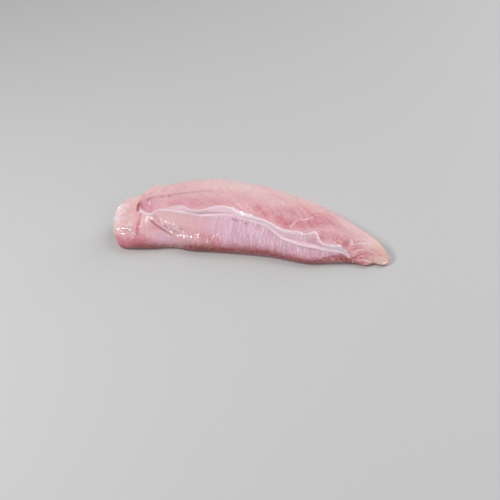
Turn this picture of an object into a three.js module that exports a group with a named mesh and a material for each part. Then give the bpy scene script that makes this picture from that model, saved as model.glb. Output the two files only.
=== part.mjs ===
// Raw turkey breast fillet, one solid piece of meat, lying flat side down. Millimetres, +Z up.
// X runs along it, from the blunt end that was cut from the breast to the thin tip.
// Y runs from the front, which carries the white skin, to the rounded back.
import * as THREE from 'three';

// Ends along X. Each end is rounded off over its own length and closes on a pole.
const BLUNT_END = -4.6;
const BLUNT_ROUNDING = 15;
const BLUNT_FULLNESS = 3.2;
const BLUNT_POLE = [15, 15];
const TIP_END = 250;
const TIP_ROUNDING = 12;
const TIP_FULLNESS = 2.3;
const TIP_POLE = [-0.5, 3.5];

// The middle of the fillet in plan. The solid is moved so that this point is its origin.
const MIDDLE = [122.7, 31.8];

// Guide lines along the fillet: X, then the value or values that the line has there.
const FRONT_Y = [[-6, -4.5], [10, -6], [28, -4.5], [54, -0.5], [70, -3], [95, -2.5], [140, -4],
  [178, -10], [200, -7], [218, -5], [229, -7], [236, -3.5], [246, -5.5], [252, -3]];
const SHOULDER_YZ = [[-6, 0, 15], [8, -1.5, 17.5], [32, 2, 18.5], [60, 6.5, 20], [100, 6.5, 20.5],
  [120, 5, 20], [155, -3.5, 14.5], [200, -5.5, 9], [215, -5.5, 6.5], [252, -3, 4]];
const SEAM_YZ = [[-6, 12, 23], [10, 14, 25], [19, 18, 27], [30, 13.5, 27.5], [38, 19, 29],
  [60, 20, 27], [76, 19, 25.5], [105, 20.3, 26.6], [118, 17.4, 26], [134, 14, 24.6], [157, 2, 18],
  [176, -1, 15.5], [207, -1, 10], [218, -2.2, 5], [235, -1, 8], [252, -2, 5]];
const CREST_YZ = [[-6, 30, 27], [16, 34, 29.5], [21, 41, 30], [40, 45, 34], [60, 50, 37],
  [85, 54, 38], [110, 52, 37], [160, 41, 31], [205, 24, 22], [238, 11, 13.5], [252, 2, 7]];
const BACK_Y = [[-6, 33], [8, 42], [16, 47], [24, 57], [40, 63], [60, 71], [85, 75], [110, 72],
  [135, 67], [185, 54], [205, 42], [222, 29], [238, 19], [252, 1]];

// The torn edge of the skin: how far it lies back from the seam, and how far above it.
const SKIN_BAND = [[-6, 6, 2], [8, 8, 2.5], [25, 2, 0], [38, 1, 0.3], [58, 1.2, 4.1],
  [196, 1.2, 4.2], [208, 0.6, 4.2], [219, 0.4, 1.2], [235, 2.5, 2], [252, 1, 1]];
// Lobes of skin that stand further out: X where one starts, peaks and stops, then back and up.
const SKIN_LOBES = [[44, 58, 67, 3, 0.6], [72, 93, 119, 5.8, 1.4], [128, 182, 191, 7.4, 4.2],
  [198, 207, 216, 0.6, 1.5]];

// The trough in the muscle behind the torn edge. Before the notch it is the end's top face.
const TROUGH_YZ = [[-6, 21, 25.5], [16, 25.6, 28.9], [20.5, 26.7, 24.4], [30, 21.5, 23.9],
  [38, 25.2, 25], [58, 28.6, 26.9], [75, 29, 26.8], [93, 31.6, 28], [119, 26, 27.3],
  [150, 15.8, 22.3], [182, 11.8, 18], [196, 7.8, 15.2], [207, 6.2, 12.7], [219, 3.6, 10.2],
  [235, 5, 12], [252, 0.5, 6.5]];
// How far the back has fallen below the crest where it turns down.
const BACK_DROP = [[-6, 0.8], [16, 1.6], [24, 1.4], [40, 3.2], [60, 5.2], [85, 5], [135, 3.5],
  [185, 1], [222, 0.7], [238, 1.5], [252, 2]];

// Sizes of the cross section that are the same all along.
const FOOT_TUCK = 5.5;
const BACK_TUCK = 6;
const LARGEST_TUCK_SHARE = 0.2;
const UNDERSIDE_LEAN_SHARE = 0.06;
const HEEL_RISE = 2;
const BELLY_BULGE = 1.6;
const BELLY_HEIGHT_SHARE = 0.5;
const SLOPE_BACK_SHARE = 0.38;
const SLOPE_UP_SHARE = 0.55;
const TURN_BACK_SHARE = 0.57;
const BACK_HEIGHT_SHARE = 0.41;

// Places in the order of the cross section's points, as surface rows count them.
const HEEL = 2;
const BELLY = 3;
const SEAM = 5;
const TORN = 6;
const TURN = 10;
const BACK = 11;

// Steps round the section from each of its points to the next.
const STEPS_AROUND = [1, 2, 3, 4, 6, 5, 2, 4, 6, 5, 4, 3, 1];
// Steps along X: start, stop and number. They are close where notch, crease and lobe end lie.
const STEPS_ALONG = [[10.4, 24, 11], [24, 62, 21], [62, 178, 34], [178, 222, 21], [222, 238, 7]];
const STEPS_BLUNT_END = 9;
const STEPS_TIP = 7;

// A smooth run between two values as x goes from one bound to the other.
const ramp = (x, from, to) => THREE.MathUtils.smoothstep(x, from, to);

// A bump with the height 1 at its middle.
const bell = (distance, width) => Math.exp(-((distance / width) ** 2));

// 0 at start and stop, 1 at the peak, half a cosine on each side of it.
function hump(x, start, peak, stop) {
  const share = x < peak ? (x - start) / (peak - start) : (stop - x) / (stop - peak);
  return 0.5 - 0.5 * Math.cos(Math.PI * THREE.MathUtils.clamp(share, 0, 1));
}

// Slope of a guide line at knot i: the weighted harmonic mean of the slopes beside it, so that
// the line never overshoots, and 0 where it turns.
function slopeAt(line, i, value) {
  const slope = (k) => (line[k + 1][value] - line[k][value]) / (line[k + 1][0] - line[k][0]);
  if (i === 0) {
    return slope(0);
  }
  if (i === line.length - 1) {
    return slope(i - 1);
  }
  const before = slope(i - 1);
  const after = slope(i);
  if (before * after <= 0) {
    return 0;
  }
  const stepBefore = line[i][0] - line[i - 1][0];
  const stepAfter = line[i + 1][0] - line[i][0];
  const w1 = 2 * stepAfter + stepBefore;
  const w2 = stepAfter + 2 * stepBefore;
  return (w1 + w2) / (w1 / before + w2 / after);
}

// The value, or values, that a guide line has at x: cubic pieces from knot to knot.
function guide(line, x) {
  const next = line.findIndex((knot) => knot[0] > x);
  const i = next < 0 ? line.length - 2 : Math.max(next - 1, 0);
  const step = line[i + 1][0] - line[i][0];
  const t = (x - line[i][0]) / step;
  return line[i].slice(1).map((start, k) => {
    const stop = line[i + 1][k + 1];
    const startSlope = step * slopeAt(line, i, k + 1);
    const stopSlope = step * slopeAt(line, i + 1, k + 1);
    return (1 + 2 * t) * (1 - t) ** 2 * start + t * (1 - t) ** 2 * startSlope
      + t * t * (3 - 2 * t) * stop + t * t * (t - 1) * stopSlope;
  });
}

// The cross section at x: its points (y, z), counted round from the underside by the front.
function sectionPoints(x) {
  const [front] = guide(FRONT_Y, x);
  const [back] = guide(BACK_Y, x);
  const shoulder = guide(SHOULDER_YZ, x);
  const seam = guide(SEAM_YZ, x);
  const crest = guide(CREST_YZ, x);
  const torn = guide(SKIN_BAND, x).map((offset, k) => seam[k] + offset);
  for (const [start, peak, stop, lobeBack, lobeUp] of SKIN_LOBES) {
    torn[0] += lobeBack * hump(x, start, peak, stop);
    torn[1] += lobeUp * hump(x, start, peak, stop);
  }
  const widestTuck = LARGEST_TUCK_SHARE * (back - front);
  const trough = guide(TROUGH_YZ, x);
  return [
    [THREE.MathUtils.lerp(front, back, 0.5 - UNDERSIDE_LEAN_SHARE), 0],
    [front + Math.min(FOOT_TUCK, widestTuck), 0],
    [front, HEEL_RISE],
    [front - BELLY_BULGE, 0.5 + BELLY_HEIGHT_SHARE * shoulder[1]],
    shoulder,
    seam,
    torn,
    trough,
    [THREE.MathUtils.lerp(trough[0], crest[0], SLOPE_BACK_SHARE),
      THREE.MathUtils.lerp(trough[1], crest[1], SLOPE_UP_SHARE)],
    crest,
    [THREE.MathUtils.lerp(crest[0], back, TURN_BACK_SHARE), crest[1] - guide(BACK_DROP, x)[0]],
    [back, BACK_HEIGHT_SHARE * crest[1]],
    [back - Math.min(BACK_TUCK, widestTuck), 0],
  ];
}

// How wide the section still is where an end rounds off: 1 away from it, 0 at its pole.
function roundedShare(x, end, rounding, fullness) {
  const share = THREE.MathUtils.clamp(1 - Math.abs(x - end) / rounding, 0, 1);
  return (1 - share ** fullness) ** (1 / fullness);
}

// One ring of the surface: the section's points joined by a closed curve, with the row that
// each vertex has, which is the number of its section point and the share of the way onwards.
function ring(x) {
  const ends = [[BLUNT_POLE, roundedShare(x, BLUNT_END, BLUNT_ROUNDING, BLUNT_FULLNESS)],
    [TIP_POLE, roundedShare(x, TIP_END, TIP_ROUNDING, TIP_FULLNESS)]];
  const corners = sectionPoints(x).map(([y, z]) => {
    const point = new THREE.Vector3(x, y, z);
    for (const [pole, share] of ends) {
      point.y = THREE.MathUtils.lerp(pole[0], point.y, share);
      point.z = THREE.MathUtils.lerp(pole[1], point.z, share);
    }
    return point;
  });
  const curve = new THREE.CatmullRomCurve3(corners, true, 'centripetal');
  const vertices = [];
  STEPS_AROUND.forEach((steps, corner) => {
    for (let i = 0; i < steps; i += 1) {
      const row = corner + i / steps;
      const point = curve.getPoint(row / corners.length);
      point.z = Math.max(point.z, 0);
      vertices.push({ point, row });
    }
  });
  return vertices;
}

// Where each ring stands along X: closer and closer towards the poles.
function stations() {
  const places = [];
  for (let i = 1; i < STEPS_BLUNT_END; i += 1) {
    places.push(BLUNT_END + BLUNT_ROUNDING * (1 - Math.cos((i / STEPS_BLUNT_END) * (Math.PI / 2))));
  }
  for (const [start, stop, steps] of STEPS_ALONG) {
    for (let i = 0; i < steps; i += 1) {
      places.push(THREE.MathUtils.lerp(start, stop, i / steps));
    }
  }
  for (let i = STEPS_TIP; i > 0; i -= 1) {
    places.push(TIP_END - TIP_ROUNDING * (1 - Math.cos((i / STEPS_TIP) * (Math.PI / 2))));
  }
  return places;
}

// The nearest place on a path drawn in two coordinates: how far off it is, the share of the
// path's stretches before it, and whether the point lies on the left of the path.
function nearPath(path, a, b) {
  let best = { distance: Infinity };
  for (let i = 0; i < path.length - 1; i += 1) {
    const [startA, startB] = path[i];
    const stepA = path[i + 1][0] - startA;
    const stepB = path[i + 1][1] - startB;
    const along = ((a - startA) * stepA + (b - startB) * stepB) / (stepA ** 2 + stepB ** 2);
    const t = THREE.MathUtils.clamp(along, 0, 1);
    const offA = a - startA - t * stepA;
    const offB = b - startB - t * stepB;
    const distance = Math.hypot(offA, offB);
    if (distance < best.distance) {
      const share = (i + t) / (path.length - 1);
      best = { distance, share, left: stepA * offB - stepB * offA > 0 };
    }
  }
  return best;
}

// 1 along a path, falling to 0 at both of its ends over the given share of it.
const fadedEnds = (share, fade) => ramp(share, 0, fade) * ramp(1 - share, 0, fade);

// The skin of the front ends in a slanting crease, and stands proud of the muscle beside it.
const CREASE_XZ = [[29.5, 26], [37, 22.2], [53.5, 15.3], [60.5, 12], [60, 8.5], [54, 4.3]];
function slantingCrease({ x, z }) {
  const { distance, share, left } = nearPath(CREASE_XZ, x, z);
  const step = left ? 2.4 * (1 - bell(distance, 2.6)) * Math.exp(-distance / 16) : 0;
  const fade = ramp(share, 0, 0.2) * ramp(1 - share, 0, 0.4);
  return (step - 1.5 * bell(distance, 1.9)) * fade;
}

// An upright dimple between the blunt end and the muscle beside it.
const DIMPLE_XZ = [[20, 25.5], [21.2, 20], [22, 15.5]];
function dimple({ x, z }) {
  const { distance, share } = nearPath(DIMPLE_XZ, x, z);
  return -1.5 * bell(distance, 1.9) * fadedEnds(share, 0.3);
}

// A fold that runs round the blunt end below its top face.
const END_FOLD_XZ = [[0.5, 17.5], [12, 18.3], [17, 16.9], [28, 14.1]];
function endFold({ x, z }) {
  const { distance, share } = nearPath(END_FOLD_XZ, x, z);
  return -0.8 * bell(distance, 1.4) * fadedEnds(share, 0.2);
}

// The notch where the blunt end's top face lies against the long muscle.
const NOTCH_XY = [[17.3, 33.5], [17.4, 28], [16.9, 23], [17, 16]];
function notch({ x, y }) {
  const { distance, share } = nearPath(NOTCH_XY, x, y);
  return -2 * bell(distance, 1.3) * fadedEnds(share, 0.3);
}

// A crease along the crest, with its back lip a little higher, that fades towards the middle.
const CREST_CREASE_XY = [[28, 35.8], [44, 37.4], [60, 40.2], [75, 43.6], [90, 45.6]];
function crestCrease({ x, y }) {
  const { distance, share, left } = nearPath(CREST_CREASE_XY, x, y);
  const groove = -bell(distance, 1.4) * (1 - ramp(share, 0.45, 1));
  const lip = left ? 0.6 * (1 - bell(distance, 1.5)) * Math.exp(-distance / 9) : 0;
  return (groove + lip * (1 - ramp(share, 0.3, 1))) * ramp(share, 0, 0.1);
}

// A valley that runs from the hollow behind the skin's torn edge towards the tip.
const VALLEY_XY = [[152, 19], [170, 15.5], [182, 17.5], [195, 23], [205, 17], [211, 9]];
function valley({ x, y }) {
  const { distance, share } = nearPath(VALLEY_XY, x, y);
  return -0.9 * bell(distance, 3) * fadedEnds(share, 0.15);
}

// Round rises and hollows on the upper side: X, Y, reach along X, reach along Y, height.
const MOUNDS = [[19, 44, 3, 3, 0.8], [28, 54, 5, 5, 1.4], [23, 50, 2.4, 2.4, 0.9],
  [34, 50, 3, 3, 0.6], [5, 35, 3, 3, 0.7], [190, 20, 14, 6.5, -1.4], [211, 6.5, 3, 2.2, -1.8]];
function mounds({ x, y }) {
  return MOUNDS.reduce((sum, [atX, atY, reachX, reachY, height]) => (
    sum + height * bell(x - atX, reachX) * bell(y - atY, reachY)), 0);
}

// Slow unevenness of soft meat, half a millimetre up and down, that dies out before the tip.
function unevenness({ x, y, z }) {
  const wave = Math.sin(x / 11 + 1.3 * Math.sin(y / 17)) * Math.sin(y / 9 + z / 8 + 0.7);
  return 0.5 * wave * (1 - ramp(x, 185, 212));
}

// How far the surface stands out at a vertex, by the part of the section that it is on.
function relief({ point, row }) {
  const onFront = ramp(row, HEEL, HEEL + 0.6) * (1 - ramp(row, SEAM, SEAM + 0.6));
  const onTop = ramp(row, SEAM + 0.2, TORN + 0.2) * (1 - ramp(row, TURN + 0.2, BACK));
  const onNotch = ramp(row, SEAM - 0.1, SEAM + 0.4) * (1 - ramp(row, TURN + 0.5, BACK));
  const offFloor = ramp(row, HEEL - 0.2, BELLY + 0.2) * (1 - ramp(row, BACK + 0.5, BACK + 1));
  return onFront * (slantingCrease(point) + dimple(point) + endFold(point))
    + onTop * (crestCrease(point) + valley(point) + mounds(point))
    + onNotch * notch(point)
    + offFloor * unevenness(point);
}

// Outward direction at vertex j of ring i, square to the lines to its neighbours.
function outward(rings, i, j) {
  const count = rings[i].length;
  const before = rings[Math.max(i - 1, 0)][j].point;
  const after = rings[Math.min(i + 1, rings.length - 1)][j].point;
  const lengthwise = after.clone().sub(before);
  const around = rings[i][(j + 1) % count].point.clone().sub(rings[i][(j + count - 1) % count].point);
  return lengthwise.cross(around).normalize();
}

// The closed surface: rings joined by pairs of triangles, each end closed by a fan.
function filletGeometry() {
  const smooth = stations().map(ring);
  const rings = smooth.map((vertices, i) => vertices.map((vertex, j) => {
    const point = vertex.point.clone().addScaledVector(outward(smooth, i, j), relief(vertex));
    point.z = Math.max(point.z, 0);
    return point;
  }));
  const count = rings[0].length;
  const last = rings.length - 1;
  const vertices = rings.flat();
  const bluntPole = vertices.push(new THREE.Vector3(BLUNT_END, ...BLUNT_POLE)) - 1;
  const tipPole = vertices.push(new THREE.Vector3(TIP_END, ...TIP_POLE)) - 1;
  const triangles = [];
  for (let j = 0; j < count; j += 1) {
    const next = (j + 1) % count;
    for (let i = 0; i < last; i += 1) {
      const a = i * count + j;
      const b = i * count + next;
      const c = (i + 1) * count + next;
      const d = (i + 1) * count + j;
      if (vertices[a].distanceTo(vertices[c]) < vertices[b].distanceTo(vertices[d])) {
        triangles.push(a, c, b, a, d, c);
      } else {
        triangles.push(a, d, b, b, d, c);
      }
    }
    triangles.push(bluntPole, j, next);
    triangles.push(tipPole, last * count + next, last * count + j);
  }
  const geometry = new THREE.BufferGeometry().setFromPoints(vertices);
  geometry.setIndex(triangles);
  geometry.translate(-MIDDLE[0], -MIDDLE[1], 0);
  geometry.computeVertexNormals();
  return geometry;
}

const meat = new THREE.MeshStandardMaterial({ color: 0xe4b6bd, roughness: 0.35, metalness: 0 });
const fillet = new THREE.Mesh(filletGeometry(), meat);
fillet.name = 'fillet';

const turkeyBreast = new THREE.Group();
turkeyBreast.add(fillet);

export default turkeyBreast;
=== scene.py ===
import math

import bpy
import numpy as np
from mathutils import Matrix, Vector


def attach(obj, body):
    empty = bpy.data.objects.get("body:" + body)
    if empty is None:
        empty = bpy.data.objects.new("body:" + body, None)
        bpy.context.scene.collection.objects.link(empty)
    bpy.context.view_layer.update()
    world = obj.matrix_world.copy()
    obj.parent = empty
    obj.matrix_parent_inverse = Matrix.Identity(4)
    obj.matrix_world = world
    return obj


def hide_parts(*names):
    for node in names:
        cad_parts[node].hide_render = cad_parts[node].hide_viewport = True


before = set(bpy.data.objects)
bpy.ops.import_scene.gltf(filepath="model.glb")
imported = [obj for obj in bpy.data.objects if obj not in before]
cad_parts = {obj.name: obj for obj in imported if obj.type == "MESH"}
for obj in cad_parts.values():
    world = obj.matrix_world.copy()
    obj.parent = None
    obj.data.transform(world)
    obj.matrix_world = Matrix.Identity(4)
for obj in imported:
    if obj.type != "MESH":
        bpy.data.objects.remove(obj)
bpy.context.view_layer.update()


# The meat is one long breast muscle of a turkey, laid on its flat side: soft, wet, pale pink.
# It was pulled off the bone and trimmed with a knife, so it is blunt where it was cut off and
# thin at its natural tip. Its front still carries a sheet of thin whitish skin.
# All lengths in this section are millimetres. X runs from the blunt end to the tip.
BLUNT_END = -4.6
BLUNT_ROUNDING = 15
BLUNT_FULLNESS = 3.2
BLUNT_POLE = (15, 15)
TIP_END = 250
TIP_ROUNDING = 12
TIP_FULLNESS = 2.3
TIP_POLE = (-0.5, 3.5)
MIDDLE = (122.7, 31.8, 0)

FRONT_Y = [
    (-6, -4.5), (10, -6), (28, -4.5), (54, -0.5), (70, -3), (95, -2.5), (140, -4), (178, -10),
    (200, -7), (218, -5), (229, -7), (236, -3.5), (246, -5.5), (252, -3),
]
SHOULDER_YZ = [
    (-6, 0, 15), (8, -1.5, 17.5), (32, 2, 18.5), (60, 6.5, 20), (100, 6.5, 20.5), (120, 5, 20),
    (155, -3.5, 14.5), (200, -5.5, 9), (215, -5.5, 6.5), (252, -3, 4),
]
SEAM_YZ = [
    (-6, 12, 23), (10, 14, 25), (19, 18, 27), (30, 13.5, 27.5), (38, 19, 29), (60, 20, 27),
    (76, 19, 25.5), (105, 20.3, 26.6), (118, 17.4, 26), (134, 14, 24.6), (157, 2, 18),
    (176, -1, 15.5), (207, -1, 10), (218, -2.2, 5), (235, -1, 8), (252, -2, 5),
]
CREST_YZ = [
    (-6, 30, 27), (16, 34, 29.5), (21, 41, 30), (40, 45, 34), (60, 50, 37), (85, 54, 38),
    (110, 52, 37), (160, 41, 31), (205, 24, 22), (238, 11, 13.5), (252, 2, 7),
]
BACK_Y = [
    (-6, 33), (8, 42), (16, 47), (24, 57), (40, 63), (60, 71), (85, 75), (110, 72), (135, 67),
    (185, 54), (205, 42), (222, 29), (238, 19), (252, 1),
]
SKIN_BAND = [
    (-6, 6, 2), (8, 8, 2.5), (25, 2, 0), (38, 1, 0.3), (58, 1.2, 4.1), (196, 1.2, 4.2),
    (208, 0.6, 4.2), (219, 0.4, 1.2), (235, 2.5, 2), (252, 1, 1),
]
SKIN_LOBES = [
    (44, 58, 67, 3, 0.6), (72, 93, 119, 5.8, 1.4), (128, 182, 191, 7.4, 4.2),
    (198, 207, 216, 0.6, 1.5),
]
TROUGH_YZ = [
    (-6, 21, 25.5), (16, 25.6, 28.9), (20.5, 26.7, 24.4), (30, 21.5, 23.9), (38, 25.2, 25),
    (58, 28.6, 26.9), (75, 29, 26.8), (93, 31.6, 28), (119, 26, 27.3), (150, 15.8, 22.3),
    (182, 11.8, 18), (196, 7.8, 15.2), (207, 6.2, 12.7), (219, 3.6, 10.2), (235, 5, 12),
    (252, 0.5, 6.5),
]
BACK_DROP = [
    (-6, 0.8), (16, 1.6), (24, 1.4), (40, 3.2), (60, 5.2), (85, 5), (135, 3.5), (185, 1),
    (222, 0.7), (238, 1.5), (252, 2),
]

FOOT_TUCK = 5.5
BACK_TUCK = 6
LARGEST_TUCK_SHARE = 0.2
UNDERSIDE_LEAN_SHARE = 0.06
HEEL_RISE = 2
BELLY_BULGE = 1.6
BELLY_HEIGHT_SHARE = 0.5
SLOPE_BACK_SHARE = 0.38
SLOPE_UP_SHARE = 0.55
TURN_BACK_SHARE = 0.57
BACK_HEIGHT_SHARE = 0.41

# The section's points in order. A row is the number of a point and the share of the way on.
HEEL, BELLY, SHOULDER, SEAM, TORN, TROUGH, SLOPE, CREST, TURN, BACK = range(2, 12)
CORNERS = 13
STEPS_AROUND = (4, 3, 8, 30, 26, 7, 10, 18, 24, 20, 14, 8, 4)
STEPS_BLUNT_END = 34
STEPS_BETWEEN = 496
STEPS_TIP = 28


def cubic(t, start, leave, stop, arrive):
    """The cubic from start to stop, as t goes from 0 to 1, with the slopes given for its ends."""
    return ((1 + 2 * t) * (1 - t) ** 2 * start + t * (1 - t) ** 2 * leave
            + t * t * (3 - 2 * t) * stop + t * t * (t - 1) * arrive)


def guide(line, x):
    """Cubics from knot to knot of a guide line, one array for each of its values. The slope
    at a knot is the weighted harmonic mean of the slopes beside it, or 0 at a turn."""
    knots = np.asarray(line, float)
    step = np.diff(knots[:, 0])
    i = np.clip(np.searchsorted(knots[:, 0], x, side="right") - 1, 0, len(step) - 1)
    t = np.clip((x - knots[i, 0]) / step[i], 0, 1)
    w1 = 2 * step[1:] + step[:-1]
    w2 = step[1:] + 2 * step[:-1]
    values = []
    for value in knots[:, 1:].T:
        slope = np.diff(value) / step
        before, after = slope[:-1], slope[1:]
        rising = before * after > 0
        safe = np.where(rising, before, 1), np.where(rising, after, 1)
        mean = np.where(rising, (w1 + w2) / (w1 / safe[0] + w2 / safe[1]), 0)
        at_knot = np.concatenate([slope[:1], mean, slope[-1:]])
        values.append(cubic(t, value[i], step[i] * at_knot[i],
                            value[i + 1], step[i] * at_knot[i + 1]))
    return np.array(values)


def hump(x, start, peak, stop):
    """0 at start and stop, 1 at the peak, with half a cosine wave on either side."""
    share = np.where(x < peak, (x - start) / (peak - start), (stop - x) / (stop - peak))
    return 0.5 - 0.5 * np.cos(np.pi * np.clip(share, 0, 1))


def ramp(value, low, high):
    """0 below low, 1 above high, and 3t^2 - 2t^3 of the share t of the way between."""
    t = np.clip((value - low) / (high - low), 0, 1)
    return t * t * (3 - 2 * t)


def zone(value, off_below, on_from, on_to, off_above):
    """1 between the two middle values and 0 outside the two outer ones, with ramps between."""
    return ramp(value, off_below, on_from) * (1 - ramp(value, on_to, off_above))


def window(value, low, high, fade):
    """1 between low and high, falling to 0 over the length fade outside them."""
    return zone(value, low - fade, low, high, high + fade)


def bell(distance, width):
    """e to the power of minus the square of distance over width."""
    return np.exp(-(distance / width) ** 2)


def between(a, b, share):
    """The value that lies the given share of the way from a to b."""
    return a + (b - a) * share


def unit(vectors):
    """The vectors divided by their lengths."""
    return vectors / np.maximum(np.linalg.norm(vectors, axis=-1, keepdims=True), 1e-9)


def section_points(x):
    """The section's thirteen points (y, z) at x, counted round from the underside by the
    front. Each is a guide line, or a fixed share of the way between two of them."""
    front, = guide(FRONT_Y, x)
    back, = guide(BACK_Y, x)
    shoulder, seam, band, trough, crest = (
        guide(line, x) for line in (SHOULDER_YZ, SEAM_YZ, SKIN_BAND, TROUGH_YZ, CREST_YZ))
    torn = seam + band + sum(np.multiply.outer(lobe[3:], hump(x, *lobe[:3]))
                             for lobe in SKIN_LOBES)
    tuck = LARGEST_TUCK_SHARE * (back - front)
    floor = np.zeros_like(front)
    points = [
        (between(front, back, 0.5 - UNDERSIDE_LEAN_SHARE), floor),
        (front + np.minimum(FOOT_TUCK, tuck), floor),
        (front, floor + HEEL_RISE),
        (front - BELLY_BULGE, 0.5 + BELLY_HEIGHT_SHARE * shoulder[1]),
        shoulder,
        seam,
        torn,
        trough,
        (between(trough[0], crest[0], SLOPE_BACK_SHARE),
         between(trough[1], crest[1], SLOPE_UP_SHARE)),
        crest,
        (between(crest[0], back, TURN_BACK_SHARE), crest[1] - guide(BACK_DROP, x)[0]),
        (back, BACK_HEIGHT_SHARE * crest[1]),
        (back - np.minimum(BACK_TUCK, tuck), floor),
    ]
    corners = np.stack([np.stack(point, -1) for point in points])
    ends = ((BLUNT_POLE, x - BLUNT_END, BLUNT_ROUNDING, BLUNT_FULLNESS),
            (TIP_POLE, TIP_END - x, TIP_ROUNDING, TIP_FULLNESS))
    for pole, inwards, rounding, fullness in ends:
        off_end = np.clip(1 - inwards / rounding, 0, 1)
        width = (1 - off_end ** fullness) ** (1 / fullness)
        corners = np.array(pole) + (corners - np.array(pole)) * width[..., None]
    return corners


def bare_form(x, row):
    """Points of the smooth form. At each x a closed centripetal Catmull-Rom curve joins the
    section's points, and row tells how far round it the point lies. Nothing is below 0."""
    sections = section_points(np.asarray(x, float))
    x, row = np.broadcast_arrays(np.asarray(x, float), np.asarray(row, float) % CORNERS)
    corners = np.broadcast_to(sections, (CORNERS, *x.shape, 2))
    corner = np.floor(row).astype(int)
    p = [np.take_along_axis(corners, ((corner + k) % CORNERS)[None, ..., None], 0)[0]
         for k in (-1, 0, 1, 2)]
    gap = [np.maximum(np.linalg.norm(p[k + 1] - p[k], axis=-1), 1e-6)[..., None] ** 0.5
           for k in range(3)]
    slope = [(p[k + 1] - p[k]) / gap[k] for k in range(3)]
    leave = gap[1] * (slope[0] - (p[2] - p[0]) / (gap[0] + gap[1]) + slope[1])
    arrive = gap[1] * (slope[1] - (p[3] - p[1]) / (gap[1] + gap[2]) + slope[2])
    yz = cubic((row - corner)[..., None], p[1], leave, p[2], arrive)
    return np.concatenate([x[..., None], yz[..., :1], np.maximum(yz[..., 1:], 0)], -1)


def directions(x, row):
    """Outward unit vector, unit vector round the section, and millimetres in one row. The
    first is the change along x crossed with the change round the section."""
    along = bare_form(x + 0.05, row) - bare_form(x - 0.05, row)
    around = (bare_form(x, row + 0.01) - bare_form(x, row - 0.01)) / 0.02
    stretch = np.maximum(np.linalg.norm(around, axis=-1), 1e-6)
    return unit(np.cross(along, around)), around / stretch[..., None], stretch


def near_path(path, a, b):
    """The nearest place on a path drawn in two coordinates: how far off it is, the share of
    the path's length before it, and 1 on the path's left or -1 on its right."""
    corners = np.asarray(path, float)
    steps = np.diff(corners, axis=0)
    lengths = np.linalg.norm(steps, axis=1)
    from_corner = np.stack([a, b], -1)[..., None, :] - corners[:-1]
    t = np.clip((from_corner * steps).sum(-1) / lengths ** 2, 0, 1)
    off = from_corner - t[..., None] * steps
    distance = np.linalg.norm(off, axis=-1)
    share = (np.cumsum(lengths) - lengths + t * lengths) / lengths.sum()
    side = np.sign(steps[:, 0] * off[..., 1] - steps[:, 1] * off[..., 0])
    nearest = distance.argmin(-1)[..., None]
    return [np.take_along_axis(values, nearest, -1)[..., 0]
            for values in (distance, share, side)]


def faded_ends(share, fade):
    """1 along a path, falling to 0 at both of its ends over the given share of it."""
    return ramp(share, 0, fade) * ramp(1 - share, 0, fade)


def stroke(path, a, b, width, fade):
    """A line drawn along a path: a bell of the given width across it, with faded ends."""
    distance, share, _ = near_path(path, a, b)
    return bell(distance, width) * faded_ends(share, fade)


def step_beside(distance, side, width, reach):
    """A step on the left of a path: one minus a bell of the width, dying away as e to the
    power of minus distance over reach."""
    return (side > 0) * (1 - bell(distance, width)) * np.exp(-distance / reach)


def noise(spacing, seed, *coordinates):
    """Uneven waves from -1 to 1: seeded random numbers on a cubic lattice, blended by ramps
    between its corners. The spacing is the lattice's, in the coordinates' own unit."""
    size = 48
    lattice = np.random.default_rng(seed).uniform(-1, 1, (size, size, size))
    place = np.array(np.broadcast_arrays(*coordinates, 0.0, 0.0)[:3])
    place = (place.T / np.broadcast_to(spacing, 3)).T + 0.37
    cell = np.floor(place).astype(int)
    t = ramp(place - cell, 0, 1)
    total = 0
    for corner in np.ndindex(2, 2, 2):
        weight = np.prod([share if step else 1 - share for share, step in zip(t, corner)], 0)
        total = total + weight * lattice[tuple((c + step) % size for c, step in zip(cell, corner))]
    return total


def noise_sum(layers, *coordinates):
    """The sum of several soft noises, each given by its strength, spacing and seed."""
    return sum(strength * noise(spacing, seed, *coordinates)
               for strength, spacing, seed in layers)


# Creases, folds and threads of the surface, as paths in two of its coordinates.
SLANTING_CREASE_XZ = [(30.5, 25.1), (37, 21.8), (53.5, 14.9), (60.5, 11.8), (60, 8.5), (54, 4.3)]
SECOND_LIP_XZ = [(40, 24.2), (45, 23.4), (49, 22.2), (53, 20.8), (59, 19.2), (66, 17.5)]
DIMPLE_XZ = [(19.3, 25), (20.6, 21.5), (21.4, 16.5)]
END_FOLD_XZ = [(0.5, 17.5), (12, 18.3), (17, 16.9), (28, 14.1)]
NOTCH_XY = [(17.3, 33.5), (17.2, 28), (16.6, 23), (16.9, 18.5), (17.6, 15)]
BOWL_STROKE_XY = [(21.5, 33), (24.2, 35.2), (29, 37)]
CREST_CREASE_XY = [(28, 35.8), (44, 37.4), (60, 40.2), (75, 43.6), (90, 45.6)]
VALLEY_XY = [(152, 19), (170, 15.5), (182, 17.5), (195, 23), (205, 17), (211, 9)]
BACK_FOLD_XY = [(120, 54), (131, 52.8), (140, 52.6), (149, 51.2)]
SINEW_XY = [
    (159.4, 15.5), (161, 18.2), (164.3, 20.7), (167.6, 22.4), (172, 22.9), (176.5, 24.9),
    (180.6, 28.2), (184, 30.5),
]
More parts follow.
